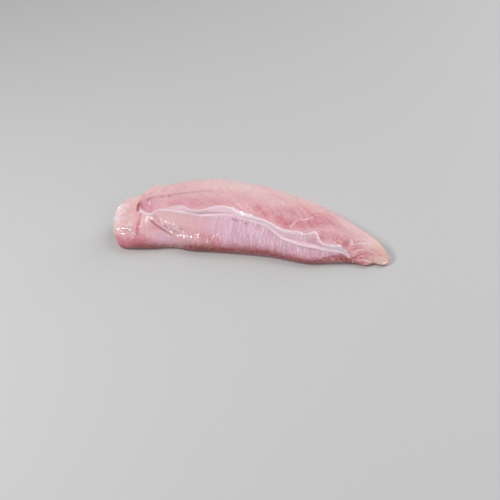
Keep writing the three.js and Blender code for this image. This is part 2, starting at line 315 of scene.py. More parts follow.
# Round rises and hollows of the upper side: X, Y, reach along X and along Y, height.
MOUNDS = [
    (19, 44, 3, 3, 0.8), (28, 54, 5, 5, 1.4), (23, 50, 2.4, 2.4, 0.9), (34, 50, 3, 3, 0.6),
    (5, 35, 3, 3, 0.7), (190, 20, 14, 6.5, -1.4), (211, 6.5, 3, 2.2, -1.8), (25, 27, 5.5, 5, -2.0),
    (18.5, 38.5, 1.6, 1.6, 0.9), (19.5, 44.5, 1.8, 1.6, 0.7), (23, 48, 1.6, 1.4, 0.6),
    (29, 49.5, 2, 1.6, 0.6), (31, 43, 2.5, 2, 0.5),
]
# Beads of juice and fat that catch the light on the front: X, Z, length and height.
BEADS = [
    (33.6, 24.9, 1.5, 0.3), (37.3, 23.3, 1.6, 0.34), (40.9, 21.8, 1.6, 0.34),
    (41.8, 24.8, 1.4, 0.26), (45.6, 24.2, 1.5, 0.34), (49.7, 23.4, 1.6, 0.34),
    (53.6, 22.8, 1.5, 0.34), (57.5, 21, 1, 0.34), (44.4, 20.6, 1.3, 0.34), (47.5, 19.4, 1.3, 0.34),
    (51, 18.5, 1.3, 0.34), (53.2, 17.6, 1.4, 0.34), (56.8, 16.8, 1.3, 0.34), (59.4, 15.4, 1, 0.34),
    (61.7, 15.5, 0.9, 0.2), (64.2, 14.1, 0.9, 0.2), (65.8, 14.9, 0.9, 0.2), (43.4, 22.8, 1.5, 0.34),
    (47.9, 21.7, 1.6, 0.34), (52.3, 21.2, 1.5, 0.34), (54.6, 19.9, 1, 0.34),
    (57.2, 19.3, 1.4, 0.34), (60.6, 18.4, 0.9, 0.2), (68.2, 15.7, 0.8, 0.2), (71.9, 15.8, 0.8, 0.2),
    (76, 14.4, 0.8, 0.2), (79.6, 13.7, 0.8, 0.2), (78, 17.9, 0.8, 0.2), (84.9, 17.3, 0.8, 0.2),
    (86.1, 14.6, 0.9, 0.2), (89.8, 14.5, 0.9, 0.2), (90.2, 18.7, 0.8, 0.2), (96.3, 18.7, 0.8, 0.2),
    (9.5, 19.3, 1, 0.3), (12, 19.3, 1, 0.55), (14.3, 18.4, 1.1, 0.6), (16.9, 16.9, 1.1, 0.45),
    (19.5, 16.2, 1, 0.35), (158.6, 13.6, 0.7, 0.35), (160, 15.4, 0.6, 0.3), (238, 5.2, 1, 0.3),
    (241.7, 5, 1.1, 0.35), (244.3, 4, 0.9, 0.3),
]
BEAD_WIDTH = 0.65
BEAD_FALL = 0.38
SMALL_BEADS = 30
# Pinpricks of dried blood in the skin: X, row and width, and millimetres in one row there.
PINPRICKS = [(106.8, 4.74, 0.6), (108.6, 4.71, 0.8), (111.2, 4.66, 0.7), (119.3, 4.62, 0.9)]
ROW_AT_PINPRICKS = 15
# Muscle fibres of the upper side slant further and further forward: X and the shift so far.
FIBRE_SHIFT = [(-6, 0), (40, 4), (90, 14), (130, 38), (170, 75), (205, 100), (252, 130)]
# The strands at the tip sweep round this point in plan, between two distances from it.
STRANDS_MIDDLE = (228.5, -19)
STRANDS_REACH = (14, 29)


def beads(x, z):
    """Height of the beads: each is a bell along a falling line times a bell across it. The
    listed ones are followed by small ones, strewn at random below the slanting crease."""
    random = np.random.default_rng(41)
    small = zip(random.uniform(66, 100, SMALL_BEADS), random.normal(15.5, 1.6, SMALL_BEADS),
                random.uniform(0.4, 0.7, SMALL_BEADS), random.uniform(0.1, 0.35, SMALL_BEADS))
    total = 0
    for at_x, at_z, length, bead_height in [*BEADS, *small]:
        drop = z - at_z + BEAD_FALL * (x - at_x)
        total = total + bead_height * bell(x - at_x, length) * bell(drop, BEAD_WIDTH)
    return total


def lean_of_ribs(x, z):
    """X of the rib of skin that passes through a point: ribs bow to the tip at both ends."""
    return x - 0.024 * (z - 17) ** 2


def rib_waves(x, z):
    """Soft noise drawn out along the ribs of the skin, fine ribs with broad ones among them."""
    bowed = lean_of_ribs(x, z) + 1.2 * noise(8, 13, x, z)
    return noise_sum([(0.8, (0.8, 2.8, 1), 5), (0.25, (2.2, 6, 1), 14)], bowed, z)


def fibre_waves(x, y, z, layers):
    """Soft noise drawn out along the muscle fibres of the upper side, for 18 times the root
    of its spacing. Each layer is a strength, a spacing and a seed."""
    return noise_sum([(strength, (spacing, 18 * spacing ** 0.5, 1), seed)
                      for strength, spacing, seed in layers],
                     y - 0.4 * z + guide(FIBRE_SHIFT, x)[0], x)


def sinew(x, y, width, fade):
    """The stroke along SINEW_XY, broken up by fine noise."""
    return np.clip(0.6 + 0.9 * noise(1.3, 6, x, y), 0, 1) \
        * stroke(SINEW_XY, x, y, width, fade)


def tip_strands(x, y):
    """Soft noise drawn out along circles round STRANDS_MIDDLE, and 1 where strands show."""
    across, up = x - STRANDS_MIDDLE[0], y - STRANDS_MIDDLE[1]
    off = np.hypot(across, up) + 0.6 * noise(6, 7, x, y)
    waves = noise((1.15, 11, 1), 12, off, np.arctan2(across, up) * 24)
    return waves, window(off, *STRANDS_REACH, 2) * ramp(x, 214, 221)


def relief(x, row, point, stretch):
    """How many millimetres the surface stands outside the smooth form: the sum of creases,
    steps, folds, mounds, fibres and unevenness, each kept to its own part of the surface by
    zones of x and row."""
    y, z = point[..., 1], point[..., 2]
    on_front = zone(row, HEEL, HEEL + 0.6, SEAM, SEAM + 0.6)
    on_top = zone(row, SEAM + 0.2, TORN + 0.2, TURN + 0.2, BACK)
    on_notch = zone(row, SEAM - 0.1, SEAM + 0.4, TURN + 0.5, BACK)
    on_flesh = zone(row, TORN, TORN + 0.3, BACK, BACK + 1)
    off_floor = zone(row, HEEL - 0.2, BELLY + 0.2, BACK + 0.5, BACK + 1)
    before_tip = 1 - ramp(x, 185, 212)

    distance, share, side = near_path(SLANTING_CREASE_XZ, x, z)
    ridge = 0.4 * bell(distance - 1.5, 0.75) * (1 + 1.1 * noise(1.4, 43, x)) \
        - 0.25 * bell(distance - 3.2, 1.0)
    lumps = noise_sum([(0.4, 1.9, 3), (0.2, 0.9, 4)], x, y, z)
    lip = (side > 0) * (ridge + lumps * bell(distance - 1.6, 2.6))
    front = (step_beside(distance, side, 0.9, 16) + lip - 0.6 * bell(distance, 0.6)) \
        * zone(share, 0, 0.12, 0.55, 1)
    front += 0.45 * (1 + 0.9 * noise(1.3, 44, x)) * stroke(SECOND_LIP_XZ, x, z, 0.8, 0.1)
    front += 0.5 * lumps * bell(x - 80, 16) * bell(z - 15, 4) + beads(x, z)
    front -= 0.45 * stroke(DIMPLE_XZ, x, z, 1.7, 0.3)
    distance, share, side = near_path(END_FOLD_XZ, x, z)
    front += (0.4 * bell(distance - 1.3, 1.1) * (side > 0) - 0.8 * bell(distance, 1.1)) \
        * faded_ends(share, 0.2)
    front += 0.12 * rib_waves(x, z) * zone(x, 90, 116, 200, 216) * window(row, 2.7, 4.7, 0.3)
    for at_x, at_row, width in PINPRICKS:
        front -= 0.5 * bell(np.hypot(x - at_x, (row - at_row) * stretch), 0.6 * width)

    distance, share, side = near_path(CREST_CREASE_XY, x, y)
    top = -0.6 * (1 + 0.4 * noise(9, 15, x, y)) * bell(distance, 1.1) \
        * zone(share, 0, 0.1, 0.45, 1)
    top -= 0.35 * bell(distance - 3.2, 1.0) * window(share, 0.12, 0.7, 0.15) * (side > 0)
    top += 0.6 * step_beside(distance, side, 1.5, 9) * zone(share, 0, 0.1, 0.3, 1)
    top -= 0.7 * stroke(BOWL_STROKE_XY, x, y, 1.3, 0.2)
    top -= 0.9 * stroke(VALLEY_XY, x, y, 2.4, 0.15)
    distance, share, side = near_path(BACK_FOLD_XY, x, y)
    top += (0.35 * step_beside(distance, side, 1.2, 5) - 0.3 * bell(distance, 1.0)) \
        * faded_ends(share, 0.25)
    for at_x, at_y, reach_x, reach_y, mound_height in MOUNDS:
        top += mound_height * bell(x - at_x, reach_x) * bell(y - at_y, reach_y)
    strands, in_strands = tip_strands(x, y)
    top += 0.45 * sinew(x, y, 0.6, 0.12) + 0.42 * strands * in_strands
    top += 0.8 * noise(2.6, 19, x, y, z) * window(x, 19, 35, 4) * ramp(y, 38, 46)

    distance, share, side = near_path(NOTCH_XY, x, y)
    notch = 0.7 * (side < 0) * bell(distance - 1.6, 1.1) * window(share, 0.1, 0.6, 0.2) \
        - 0.9 * bell(distance, 0.9) * window(share, 0.2, 0.7, 0.2)
    notch += ramp(15 - x, 0, 5) * (0.4 * noise(1.6, 17, x, y, z)
                                   + 0.35 * noise((1.1, 5, 1), 18, y - x, y + x))
    end_lip = ramp(5 - x, 0, 7) * (1.3 * bell(z - 20, 4) - 2.2 * zone(z, 0, 3, 6, 14))

    uneven = 0.5 * np.sin(x / 11 + 1.3 * np.sin(y / 17)) * np.sin(y / 9 + z / 8 + 0.7)
    lumpy = noise_sum([(0.26, 13, 9), (0.13, 5, 10), (0.06, 1.7, 11)], x, y, z)
    fibres = fibre_waves(x, y, z, [(0.13, 1.0, 8), (0.14, 2.8, 16)])
    return (on_front * front + on_top * top + on_notch * notch + end_lip
            + on_flesh * fibres * before_tip
            + off_floor * (uneven * before_tip + lumpy * between(0.4, 1, before_tip)))


def meat_surface(x, row):
    """Points of the finished meat: the smooth form moved outwards by its relief."""
    point = bare_form(x, row)
    outward, _, stretch = directions(x, row)
    height = relief(*np.broadcast_arrays(x, row), point, stretch)
    point = point + outward * height[..., None]
    point[..., 2] = np.maximum(point[..., 2], 0)
    return point


def ovals(table, a, b):
    """The strongest of several soft ovals at each point: each is a bell of the distance from
    its middle, counted in its reach either way, times its strength."""
    return np.max([strength * bell(np.hypot((a - at_a) / reach_a, (b - at_b) / reach_b), 1)
                   for at_a, at_b, reach_a, reach_b, strength in table], axis=0)


# Where the flesh of the upper side is a deeper rose: its own blotches, and painted shade in the bowl
# behind the blunt end, the valley and the hollow near the tip. X, Y, reach either way, strength.
ROSE_AND_SHADE_ON_TOP = [
    (23, 29, 6, 6, 0.85), (27, 24, 5, 4, 0.9), (50, 31, 14, 4, 0.45), (54, 51, 18, 9, 0.25),
    (72, 32, 14, 4.5, 0.5), (92, 34.5, 14, 4, 0.3), (128, 30, 9, 4, 0.5), (137, 25.5, 8, 5, 0.6),
    (148, 21, 8, 5, 0.7), (158, 18.5, 8, 5, 0.8), (168, 21, 8, 5, 0.7), (178, 22, 9, 5, 0.8),
    (188, 24.5, 9, 4.5, 0.55), (198, 22.5, 8, 3.5, 0.4), (206, 18, 5, 4, 0.3),
    (188, 29, 14, 6, 1.0), (200, 26, 9, 5, 0.35), (209.5, 7.3, 4.5, 2.4, 1.3), (209, 9, 10, 6, 0.7),
    (224, 0, 12, 4, 0.8), (218, 5, 7, 4, 0.5), (172, 27, 26, 13, 0.55), (196, 33, 12, 8, 0.5),
    (202, 9, 9, 5, 0.7), (197, 11, 16, 9, 0.35), (187, 8, 5, 5, 0.5), (204, 6.5, 4, 3, 0.9),
    (218, 3, 5, 3, 0.7), (223, 0, 8, 3, 0.5),
]
# The same on the front, where the rose is also painted shade in the dimple and towards the lower
# edge: X, Z, reach either way, strength.
ROSE_AND_SHADE_ON_FRONT = [
    (6, 9, 14, 7, 0.9), (160, 11, 12, 4, 0.6), (22, 10, 10, 5, 0.9), (20.8, 20, 2.1, 6, 1.35),
    (36, 20, 6, 1.6, 0.5), (82, 23, 5, 4, 0.4), (78, 18, 18, 4.5, 0.65), (10, 20, 9, 5, 0.45),
    (112, 10, 8, 6, 0.6), (140, 8, 34, 4, 0.9), (180, 7, 18, 4, 0.8), (163, 13.5, 6, 3, 0.4),
    (184, 18.5, 9, 2.5, 0.5), (227, 5, 6, 2.5, 1.0), (231.3, 5.3, 3.2, 3, 1.6),
    (222, 3, 10, 3, 0.7),
]
# Whitish fat, on the upper side by X and Y, and on the front by X and Z. The first oval on the upper
# side is painted light on the top of the tip, not fat.
CREAM_AND_LIGHT_ON_TOP = [
    (227, 8, 7, 5, 0.6), (2, 26, 9, 12, 0.6), (-3, 24, 3.5, 14, 1.1), (11, 34, 7, 6, 0.7),
    (20, 45, 4, 6, 0.9), (31, 45, 7, 4.5, 0.7), (41, 46, 9, 4, 0.6), (33, 54, 8, 5, 0.8),
    (150, 37, 14, 5, 0.55), (166, 38, 8, 4, 0.4), (222, 14, 14, 8, 0.5), (236, 9, 12, 7, 0.8),
    (245, 2, 9, 9, 0.7),
]
CREAM_ON_FRONT = [
    (6, 23, 9, 4, 0.6), (-3, 20, 2.5, 8, 0.9), (52, 5.5, 6, 2.2, 0.8), (236, 7, 5, 2.5, 0.9),
    (242, 5, 7, 4, 1.0),
]
# More ovals in the same way: lilac dusk, partly painted shade in the bowl; brown, painted shade in
# the bowl on top and brown between the crease's two lips on the front; painted light on the top of
# the tip; wet and dry spots.
DUSK_AND_SHADE_ON_TOP = [(26, 31, 10, 9, 0.5), (62, 35, 28, 10, 0.3)]
BOWL_SHADE_ON_TOP = [(26, 30, 9, 9, 0.1)]
BROWN_ON_FRONT = [(49, 21.4, 6, 1.5, 0.35), (60, 19.3, 6, 2.2, 0.3)]
TIP_LIGHT_ON_TOP = [(228, 8.5, 7, 3.2, 0.4)]
WET_ON_FRONT = [(159, 14.5, 3, 3, 1)]
DRY_ON_FRONT = [(40.5, 25.6, 2.2, 2.2, 1), (3, 16, 5.5, 2.6, 1.1)]
# The lower edge of the front, painted dark brown as shade and as a dark reflection from below: X,
# height and strength.
PAINTED_SHADE_EDGE = [
    (-6, 9, 0.3), (10, 9, 0.5), (24, 12, 0.85), (36, 10.5, 0.85), (48, 9, 0.65), (58, 9.5, 0.8),
    (66, 13.5, 0.95), (84, 14, 1.0), (100, 13, 0.95), (112, 13.2, 0.9), (130, 13.4, 0.85),
    (150, 12.4, 0.85), (170, 10.5, 0.9), (186, 8.6, 0.85), (194, 8.4, 0.7), (201, 9.8, 0.7),
    (207, 9.8, 0.85), (212, 7.8, 0.95), (218, 6.5, 0.8), (225, 5, 0.5), (232, 4, 0.2), (252, 3, 0),
]


def colour_masks(x, row, point):
    """Where each colour of the meat shows, from 0 to 1 at each vertex: windows, bells and
    ovals in x, row, height and the distance from a crease, broken up by soft noise. A mask
    made of several is the largest of them. Besides the meat's own colours, the masks paint
    shade in creases, hollows and along the lower edge, glints, and light on the tip."""
    y, z = point[..., 1], point[..., 2]
    patches, spots, specks = (noise(spacing, seed, x, y, z)
                              for spacing, seed in ((7, 21), (2.2, 22), (1.0, 24)))
    ribs = rib_waves(x, z)
    fibres = fibre_waves(x, y, z, [(1, 1.3, 25), (0.8, 3.6, 26), (0.6, 0.8, 27)])
    strands, in_strands = tip_strands(x, y)
    crease, crease_share, crease_side = near_path(SLANTING_CREASE_XZ, x, z)
    notch, notch_share, notch_side = near_path(NOTCH_XY, x, y)
    crest, crest_share, _ = near_path(CREST_CREASE_XY, x, y)
    end_fold = near_path(END_FOLD_XZ, x, z)[0]
    front = window(row, HEEL, SEAM, 0.15)
    flesh = window(row, TORN, BACK + 0.4, 0.3)
    above_crease = front * (crease_side > 0)
    upper_crease = front * window(crease_share, 0.1, 0.45, 0.15)
    on_cap = ramp(17 - x, 0, 3) * window(row, SHOULDER, TURN, 0.5)

    # Painted shade and painted dark reflection along the lower edge of the front: dark brown below
    # the listed height, and a reddened painted shade for some way above it.
    edge_shade_height, edge_shade_strength = guide(PAINTED_SHADE_EDGE, x)
    sharpness = ramp(x, 178, 197)
    below = 1 - ramp(z, between(0.5, 0.85, sharpness) * edge_shade_height,
                     between(1.1, 1.0, sharpness) * edge_shade_height + 1.5 * spots + 1.5 * ribs)
    edge_shade = front * edge_shade_strength * below \
        * (1 - 0.45 * ramp(x, 85, 115) * (1 - ramp(z, 1, 5.5)))
    reddened_shade = front * edge_shade_strength * (1 - ramp(z, edge_shade_height, edge_shade_height + 6 + 2 * spots))
    # Brown, mostly painted shade: along the lower edge, in the crest crease, in the bowl and in its
    # fold stroke. Brown also lies between the slanting crease's two lips.
    brown = np.maximum.reduce([
        edge_shade,
        0.24 * flesh * bell(crest, 1.0) * window(crest_share, 0.02, 0.75, 0.2) * (1 + 0.8 * spots),
        flesh * ovals(BOWL_SHADE_ON_TOP, x, y),
        above_crease * ovals(BROWN_ON_FRONT, x, z) * (1 + 0.6 * spots),
        0.6 * flesh * stroke(BOWL_STROKE_XY, x, y, 0.8, 0.15)])

    # Lilac skin. Its dusk in the bowl is painted shade, and it fades under the painted shade of the
    # lower edge.
    low = 1 - ramp(z, 15, 20)
    skin = np.maximum.reduce([
        front * ramp(x + between(5, 2, low) * patches, between(72, 97, low),
                     between(100, 104, low)) * (1 - ramp(x, 208, 219)),
        flesh * ovals(DUSK_AND_SHADE_ON_TOP, x, y),
        0.9 * front * bell(x - 49, 11) * bell(z - 12.5, 6) * ramp(-crease_side * crease, -0.8, 2),
        window(row, SEAM, TORN, 0.05) * window(x, 40, 214, 6)])
    skin = skin * (1 - 0.8 * edge_shade) * (1 - 0.3 * reddened_shade) \
        * (1 - 0.5 * front * np.maximum(-ribs - 0.1, 0))

    # Deeper rose: the flesh's own blotches, fibres and strands, and painted shade in the bowl,
    # dimple, valley, notch, slanting crease, the groove behind its lip and above the lower edge.
    rose = np.maximum(flesh * ovals(ROSE_AND_SHADE_ON_TOP, x, y), front * ovals(ROSE_AND_SHADE_ON_FRONT, x, z)) \
        * (0.85 + 0.2 * patches + 0.2 * spots)
    rose += 0.3 * window(x, 5, 15, 4) * window(row, SHOULDER, TORN + 1, 0.5) * (1 + spots)
    rose += flesh * (0.24 * np.maximum(fibres, 0) + 0.02 + 0.06 * patches)
    rose += 1.3 * in_strands * np.maximum(-strands - 0.05, 0) + 0.5 * reddened_shade
    rose += 0.4 * on_cap * specks
    rose = np.maximum.reduce([
        rose,
        1.3 * (notch_side > 0) * bell(notch - 1, 1.2) * window(notch_share, 0.1, 0.8, 0.15),
        1.2 * upper_crease * bell(crease, 0.9),
        1.1 * above_crease * bell(crease - 3.1, 1.4) * window(crease_share, 0.1, 0.7, 0.1)])

    # Cream: whitish fat, a band along the top of the back rim that is partly fat and partly painted
    # light, and painted light on the top of the tip.
    cream = np.maximum.reduce([
        0.75 * window(row, 8.7, 10.6, 0.6) * window(x, 78, 120, 30),
        0.45 * window(row, 9.2, 10.8, 0.5) * window(x, 40, 240, 30),
        flesh * ovals(CREAM_AND_LIGHT_ON_TOP, x, y),
        front * ovals(CREAM_ON_FRONT, x, z)]) * (0.8 + 0.4 * spots + 0.3 * specks)
    cream += 0.16 * flesh * np.maximum(-fibres, 0)
    cream += on_cap * (0.15 + 0.9 * np.maximum(spots + 0.6 * specks, 0))
    cream += 1.4 * in_strands * np.maximum(strands - 0.05, 0)

    lip = np.maximum(
        (notch_side < 0) * bell(notch - 1.7, 1.3) * window(notch_share, 0.02, 0.6, 0.2),
        0.75 * ramp(x, 225, 246))
    # Dark red: dried blood in the pinpricks; in the notch's slit, its own red together with painted
    # shade; painted shade in the slanting crease and along the foot where the meat meets the floor.
    blood = np.maximum.reduce([
        0.95 * bell(notch, 0.8) * window(notch_share, 0.3, 0.72, 0.12) * window(row, 4.9, 10.5, 0.2),
        ovals([(at_x, at_row, width, width / ROW_AT_PINPRICKS, 0.95)
               for at_x, at_row, width in PINPRICKS], x, row),
        0.22 * upper_crease * bell(crease, 0.6),
        0.3 * front * edge_shade_strength * bell(z, 1.6)])

    # A painted highlight along the edge of the blunt end.
    rim_highlight = ramp(9 - x, 0, 9) * zone(row, SHOULDER + 0.4, SEAM, TURN, BACK) \
        * np.clip(0.2 + 0.85 * ramp(3 - x, 0, 6) + 0.6 * specks + 0.7 * spots, 0, 1)
    # Milky white: the sinew; painted glints on the blunt end's rim, on the beads, which are partly
    # pale fat, on the second lip and on the lip of the slanting crease; painted light on the top of
    # the tip.
    milk = np.maximum.reduce([
        rim_highlight,
        0.95 * flesh * sinew(x, y, 0.65, 0.1),
        front * np.clip(3.2 * beads(x, z) - 0.3, 0, 0.8),
        front * stroke(SECOND_LIP_XZ, x, z, 0.55, 0.1) * np.clip(0.5 + 1.2 * specks, 0, 0.95),
        above_crease * bell(crease - 1.6, 0.75) * window(crease_share, 0.04, 0.62, 0.12)
        * np.clip(0.75 + 1.1 * specks, 0, 1),
        flesh * ovals(TIP_LIGHT_ON_TOP, x, y)])
    wet = np.maximum.reduce([
        above_crease * bell(crease - 1.5, 2.6) * ramp(x, 28, 33),
        0.6 * front * window(x, 62, 88, 10) * window(z, 11, 17, 3),
        0.8 * front * window(x, 6, 18, 3) * bell(end_fold, 2.5),
        0.9 * front * stroke(SECOND_LIP_XZ, x, z, 1.0, 0.1),
        0.4 * ramp(15 - x, 0, 6) * ramp(row, SEAM - 0.4, SEAM + 0.2),
        0.65 * ramp(x, 228, 236) * window(row, 2.5, 6, 0.5),
        0.7 * milk,
        front * ovals(WET_ON_FRONT, x, z)]) * (1 - 0.9 * front * ovals(DRY_ON_FRONT, x, z))
    return {
        "ribs": front * (0.34 + 0.75 * ribs * ramp(x, 86, 114) + 0.2 * patches + 0.12 * specks),
        "strip": above_crease * window(x, 28, 70, 26) * ramp(crease, 0.5, 2),
        "skin": skin, "rose": rose, "cream": cream, "brown": brown,
        "lip": lip, "blood": blood, "milk": milk, "wet": wet,
    }


def add_object(name, data):
    """A new object in the scene that shows the given mesh, lamp or camera."""
    thing = bpy.data.objects.new(name, data)
    bpy.context.scene.collection.objects.link(thing)
    return thing


def make_piece(name, points, quads, triangles, masks, finish):
    """A smooth-shaded mesh object at the origin, from points in millimetres that count from
    the blunt end. Masks become one number, and grain three numbers, at each vertex."""
    mesh = bpy.data.meshes.new(name)
    metres = (points - MIDDLE) / 1000
    mesh.from_pydata(metres.tolist(), [], quads.tolist() + triangles.tolist())
    for mask, values in masks.items():
        kind, field = ("FLOAT_VECTOR", "vector") if values.ndim > 1 else ("FLOAT", "value")
        mesh.attributes.new(mask, kind, "POINT").data.foreach_set(field, values.ravel())
    mesh.polygons.foreach_set("use_smooth", np.ones(len(mesh.polygons), bool))
    mesh.materials.append(finish)
    mesh.update()
    return add_object(name, mesh)


def tube_faces(rings, count):
    """Quads between neighbouring rings of count vertices, and a fan of triangles from the
    pole at each end, which are the last two vertices."""
    j = np.arange(count)
    onwards = (j + 1) % count
    ring = count * np.arange(rings - 1)[:, None]
    quads = np.stack([ring + j, ring + count + j, ring + count + onwards, ring + onwards], -1)
    pole = np.full(count, rings * count)
    last = (rings - 1) * count
    fans = np.concatenate([np.stack([pole, j, onwards], -1),
                           np.stack([pole + 1, last + onwards, last + j], -1)])
    return quads.reshape(-1, 4), fans


def make_tube(name, rings, masks, finish):
    """A piece from rings of points, closed at either end round a pole, which gets the mean
    place and the mean masks of the last ring."""
    closed = {key: np.concatenate([values.reshape(-1, *values.shape[2:]),
                                   values[[0, -1]].mean(1)])
              for key, values in {"points": rings, **masks}.items()}
    points = closed.pop("points")
    return make_piece(name, points, *tube_faces(*rings.shape[:2]), closed, finish)


def screen_colour(red, green, blue):
    """Screen values from 0 to 255 as light: each share to the power 2.2."""
    return tuple((value / 255) ** 2.2 for value in (red, green, blue)) + (1,)


def add_node(tree, kind, sockets, **settings):
    """A shader node, with each socket set to a value or linked to another node's output."""
    node = tree.nodes.new("ShaderNode" + kind)
    for name, value in settings.items():
        setattr(node, name, value)
    for socket, value in sockets.items():
        if isinstance(value, bpy.types.NodeSocket):
            tree.links.new(value, node.inputs[socket])
        else:
            node.inputs[socket].default_value = value
    return node.outputs


def wet_flesh(name, softness, bumpiness, lilac, pale):
    """Raw flesh under a wet film. The pink ground turns rose in blotches and in painted shade,
    then each mask lays its own colour over it, with the given two for skin; some masks paint
    shade, glints and light. Light spreads inside by the given softness, and a clear coat
    with fine waves of its own shines on top."""
    finish = bpy.data.materials.new(name)
    finish.use_nodes = True
    tree = finish.node_tree
    tree.nodes.clear()

    def mask(attribute, output="Fac"):
        return add_node(tree, "Attribute", {}, attribute_name=attribute)[output]

    def texture(place, scale, detail):
        return add_node(tree, "TexNoise", {"Vector": place, "Scale": scale,
                                           "Detail": detail})["Fac"]

    def spread(value, low, high, to_low=0.0, to_high=1.0):
        return add_node(tree, "MapRange",
                        {"Value": value, "From Min": low, "From Max": high,
                         "To Min": to_low, "To Max": to_high})[0]

    def calculate(operation, *values):
        return add_node(tree, "Math", dict(enumerate(values)),
                        operation=operation)[0]

    def times(a, b, plus=0.0):
        return calculate("MULTIPLY_ADD", a, b, plus)

    def lay_over(below, colour, share):
        return add_node(tree, "Mix", {0: share, 6: below, 7: screen_colour(*colour)},
                        data_type="RGBA", clamp_factor=True)[2]

    def bumps(strength, distance, height):
        return add_node(tree, "Bump", {"Strength": strength, "Distance": distance,
                                       "Height": height})["Normal"]

    place = add_node(tree, "TexCoord", {})["Object"]
    blotches = spread(texture(place, 95, 3), 0.35, 0.65)
    mottle = spread(texture(place, 420, 4), 0.3, 0.7)
    thread = spread(texture(mask("grain", "Vector"), 1.0, 3), 0.3, 0.7)
    uneven = spread(mottle, 0, 1, 0.55, 1.3)

    # Rose over the pink ground: the flesh's own blotches and painted shade.
    rose = times(blotches, 0.16, times(thread, 0.34, times(mottle, 0.34, mask("rose"))))
    colour = lay_over(screen_colour(235, 192, 196), (214, 131, 145),
                      calculate("SUBTRACT", rose, 0.34))
    colour = lay_over(colour, (239, 211, 206), times(mask("cream"), uneven))
    colour = lay_over(colour, (228, 187, 190), times(mask("strip"), 0.6))
    skin = mask("skin")
    colour = lay_over(colour, lilac, times(skin, 0.8))
    threaded = times(calculate("SUBTRACT", thread, 0.5), 0.9, mask("ribs"))
    colour = lay_over(colour, pale, times(times(skin, threaded), uneven))
    # Brown: mostly painted shade and painted dark reflection.
    colour = lay_over(colour, (158, 82, 77), times(mask("brown"), uneven))
    colour = lay_over(colour, (238, 184, 170), mask("lip"))
    # Milky white: whitish tissue, painted glints and painted light.
    colour = lay_over(colour, (255, 232, 240), mask("milk"))
    # Dark red: blood, and painted shade in slits and creases.
    colour = lay_over(colour, (138, 36, 32), mask("blood"))

    wet = mask("wet")
    grit = times(texture(place, 1300, 2), 0.5, mottle)
    film_waves = times(texture(place, 900, 2), 0.5, texture(place, 380, 3))
    surface = add_node(tree, "BsdfPrincipled", {
        "Base Color": colour,
        "Roughness": times(wet, -0.12, spread(mottle, 0, 1, 0.44, 0.58)),
        "Subsurface Weight": softness,
        "Subsurface Radius": (1.0, 0.55, 0.5),
        "Subsurface Scale": 0.0022,
        "IOR": 1.42,
        "Coat Weight": spread(wet, 0, 1, 0.09, 1.0),
        "Coat Roughness": 0.06,
        "Coat IOR": 2.1,
        "Normal": bumps(bumpiness, 0.0003, grit),
        "Coat Normal": bumps(spread(wet, 0, 1, 0.55, 0.85), 0.0002, film_waves),
    })["BSDF"]
    add_node(tree, "OutputMaterial", {"Surface": surface})
    return finish


def length_so_far(lanes):
    """The length along each lane of points from its first one to each: a running sum."""
    steps = np.diff(lanes, axis=1, prepend=lanes[:, :1])
    return np.cumsum(np.linalg.norm(steps, axis=-1), 1)


# The fine threads in the colour: how wide they are, and how long on ribs and on fibres.
THREAD_WIDTH = 1.4
RIB_THREAD = 9
FIBRE_THREAD = 18

blunt_steps = np.linspace(0, np.pi / 2, STEPS_BLUNT_END + 1)[1:-1]
tip_steps = np.linspace(0, np.pi / 2, STEPS_TIP + 1)[1:-1]
stations = np.concatenate([
    BLUNT_END + BLUNT_ROUNDING * (1 - np.cos(blunt_steps)),
    np.linspace(BLUNT_END + BLUNT_ROUNDING, TIP_END - TIP_ROUNDING, STEPS_BETWEEN),
    (TIP_END - TIP_ROUNDING * (1 - np.cos(tip_steps)))[::-1],
])[:, None]
rows = np.concatenate([corner + np.arange(steps) / steps
                       for corner, steps in enumerate(STEPS_AROUND)])[None, :]
meat_rings = meat_surface(stations, rows)
grid_x, grid_row = np.broadcast_arrays(stations, rows)
grid_z = meat_rings[..., 2]
on_ribs = (grid_row > HEEL - 0.5) & (grid_row <= SEAM)
across_grain = np.where(on_ribs, lean_of_ribs(grid_x, grid_z),
                        length_so_far(meat_rings) + guide(FIBRE_SHIFT, grid_x)[0]) / THREAD_WIDTH
along_grain = np.where(on_ribs, grid_z / RIB_THREAD, grid_x / FIBRE_THREAD)
meat_masks = colour_masks(grid_x, grid_row, meat_rings)
meat_masks["grain"] = np.stack([across_grain, along_grain, 0 * along_grain], -1)
meat_finish = wet_flesh("raw_turkey_flesh", 0.4, 0.6, (216, 168, 190), (244, 220, 234))
meat = make_tube("turkey_breast_meat", meat_rings, meat_masks, meat_finish)
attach(meat, "root")
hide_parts("fillet")


# The skin is a thin whitish sheet that grew over the front of the muscle. The knife cut it
# open along the top, so it folds over in a raised seam and ends in a torn, curling edge.
# It is a closed shell: its inner face lies in the meat, and its torn edge stands free.
SHEET_START = 18.6
SHEET_STOP = 217.6
SHEET_STATIONS = 600
SHEET_FOOT = 3.6
STEPS_ON_FOOT = 12
STEPS_ON_BAND = 22
STEPS_ON_LIP = 6
# How far down from the smooth form's torn edge the sheet's own edge lies: X and rows.
EDGE_DIP = [
    (16, 0), (46, 0), (52, 0.12), (66, 0.08), (80, 0), (122, 0), (128, 0.08), (150, 0), (158, 0.1),
    (168, 0.12), (173.5, 0.3), (177, 0.22), (181, 0.08), (184, 0), (190, 0), (193, 0.12),
    (200, 0.02), (206, 0), (208, 0.2), (212, 0.15), (218, 0),
]
# How far below the smooth form's seam the raised seam itself runs: X and millimetres.
SEAM_DROP = [(16, 0), (150, 0), (166, 0.5), (178, 1.2), (192, 1.2), (204, 0.6), (214, 0)]
# How far the sheet stands off the meat, and how deep its foot and its inner face lie in it.
SHEET_THICKNESS = 0.16
FOOT_DEPTH = 0.12
INNER_DEPTH = 0.45
